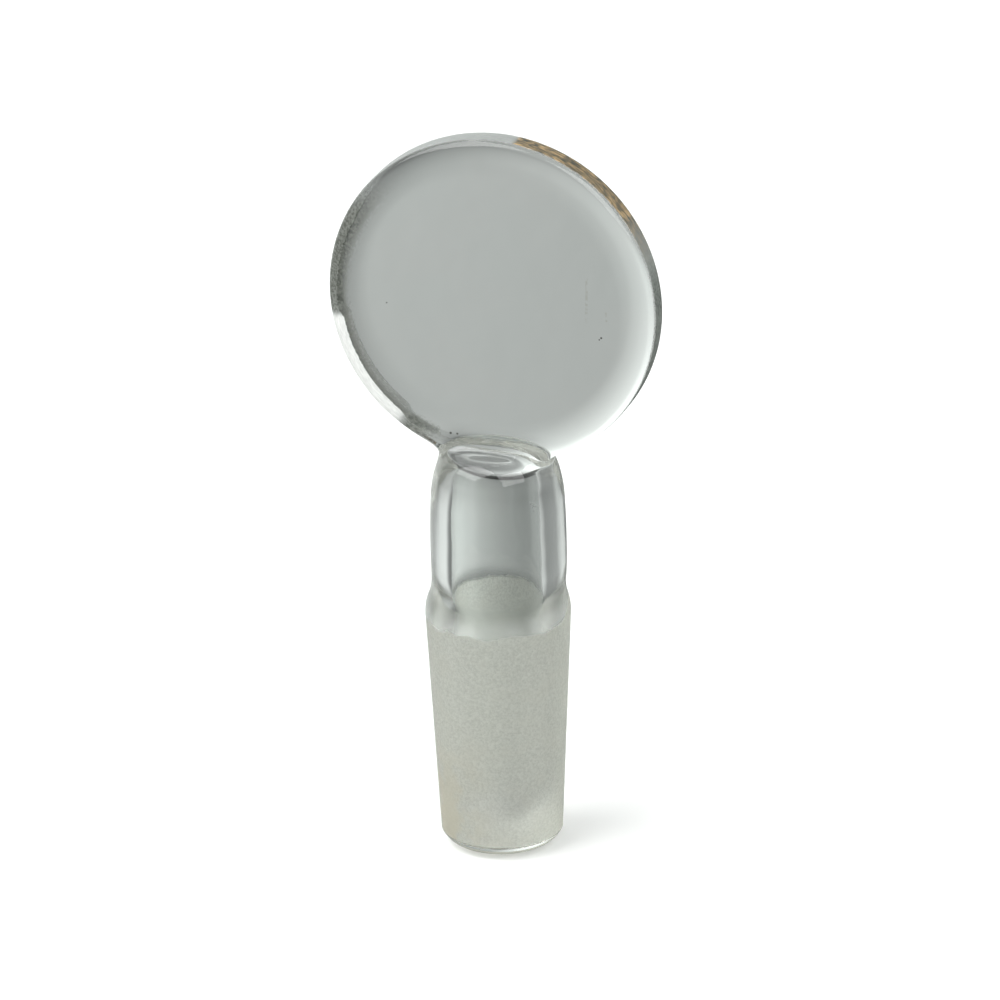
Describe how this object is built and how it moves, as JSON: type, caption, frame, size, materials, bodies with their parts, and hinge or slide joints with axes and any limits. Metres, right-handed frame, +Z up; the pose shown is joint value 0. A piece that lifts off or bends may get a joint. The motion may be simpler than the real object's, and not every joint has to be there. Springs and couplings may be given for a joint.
{
  "type": "glass stopper",
  "caption": "Hollow ground-glass stopper with a tapered frosted plug, a clear barrel neck and a flat round handle.",
  "frame": {"origin": "centre of the flat closed end, on the stopper's axis", "axes": "+Z up the axis towards the handle, Y through the handle's thickness, X across the handle"},
  "size_m": [0.0336, 0.0144, 0.0745],
  "materials": {
    "clear_glass": "polished, with a frosted ground cone"
  },
  "bodies": {
    "root": {"stopper": "clear_glass"}
  },
  "joints": []
}
